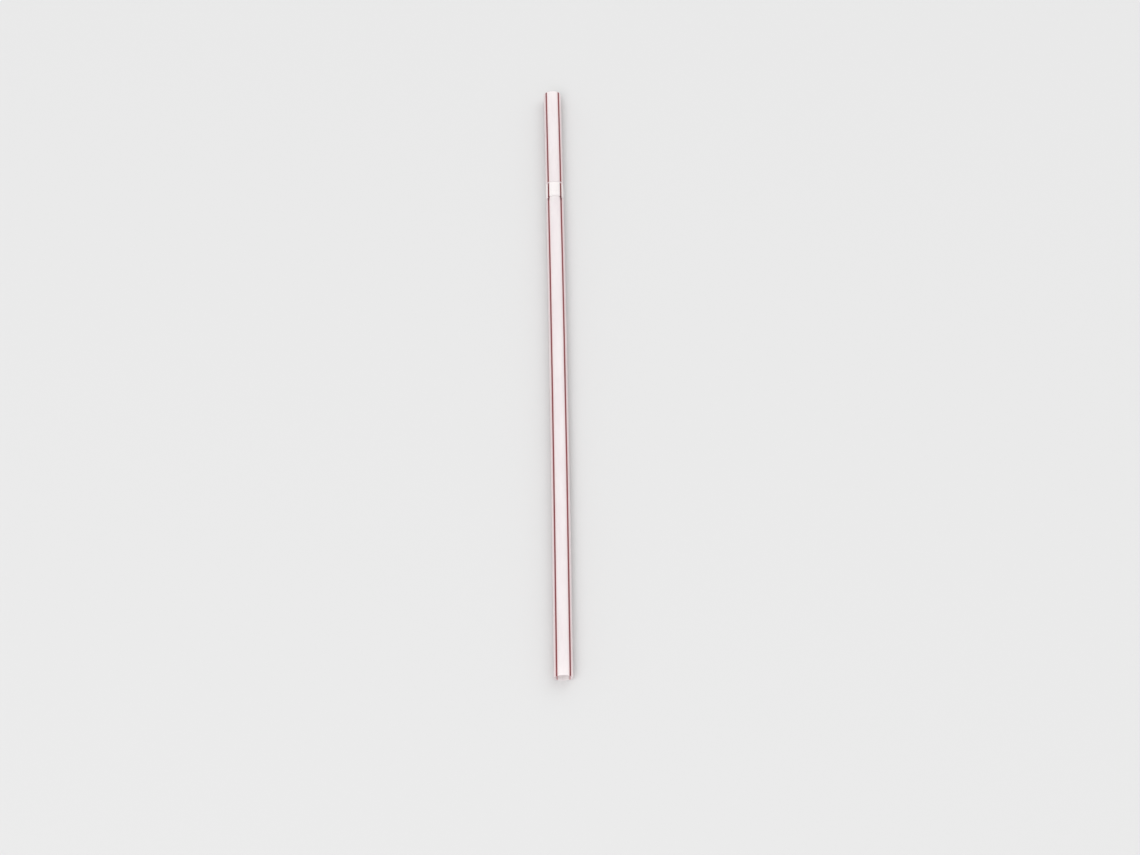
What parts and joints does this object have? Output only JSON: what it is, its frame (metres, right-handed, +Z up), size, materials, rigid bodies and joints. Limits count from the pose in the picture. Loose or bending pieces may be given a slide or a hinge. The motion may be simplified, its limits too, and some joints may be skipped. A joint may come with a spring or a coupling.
{
  "type": "flexible drinking straw",
  "caption": "Straight thin-walled plastic tube with a folded bellows neck near one end, so the short drinking end can be pulled out and bent over; lengthwise stripes in the wall.",
  "frame": {"origin": "on the surface the straw lies on, under the middle of its box", "axes": "+Y along the straw from the foot towards the drinking end, +Z up from the surface, +X across the straw"},
  "size_m": [0.007, 0.21, 0.006],
  "materials": {
    "straw_plastic": "milky translucent polypropylene with a soft gloss, four narrow red stripes coextruded in the wall"
  },
  "bodies": {
    "root": {"straw": "straw_plastic"}
  },
  "joints": []
}
